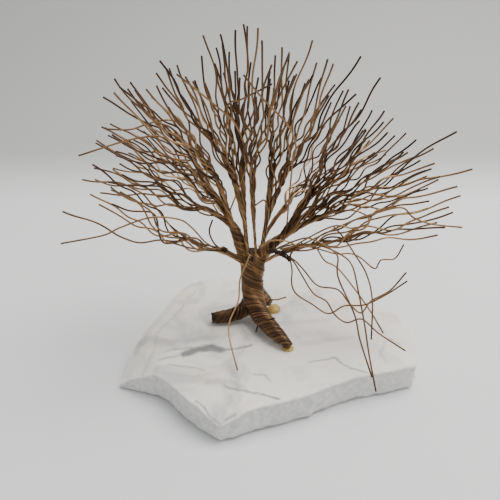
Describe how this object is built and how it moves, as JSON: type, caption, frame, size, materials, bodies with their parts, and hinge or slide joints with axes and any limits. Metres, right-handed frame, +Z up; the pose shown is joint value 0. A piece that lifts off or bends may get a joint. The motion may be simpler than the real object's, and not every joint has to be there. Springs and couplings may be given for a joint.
{
  "type": "wire tree sculpture",
  "caption": "Leafless tree of twisted craft wire with a spreading fan of loose wire ends, its roots glued to a rough marble slab.",
  "frame": {"origin": "on the slab's underside, straight below the trunk", "axes": "+X to the viewer's right, along the slab and the crown; +Y away from the viewer; +Z up"},
  "size_m": [0.2404, 0.1697, 0.1973],
  "materials": {
    "marble": "matte",
    "dark_wire": "dark bronze patina, satin",
    "bronze_wire": "bronze patina, satin",
    "glue": "clear amber, glossy"
  },
  "bodies": {
    "root": {"marble_slab": "marble", "trunk": "dark_wire", "low_left_limb": "bronze_wire", "left_limb": "bronze_wire", "centre_left_limb": "bronze_wire", "centre_limb": "bronze_wire", "centre_right_limb": "bronze_wire", "right_limb": "bronze_wire", "back_left_limb": "bronze_wire", "back_right_limb": "bronze_wire", "left_tie": "dark_wire", "tied_stub": "dark_wire", "front_wire": "bronze_wire", "drooping_wire_1": "bronze_wire", "drooping_wire_2": "bronze_wire", "drooping_wire_3": "bronze_wire", "drooping_wire_4": "bronze_wire", "drooping_wire_5": "bronze_wire", "drooping_wire_6": "bronze_wire", "drooping_wire_7": "bronze_wire", "drooping_wire_8": "bronze_wire", "front_glue": "glue", "back_glue": "glue"}
  },
  "joints": []
}
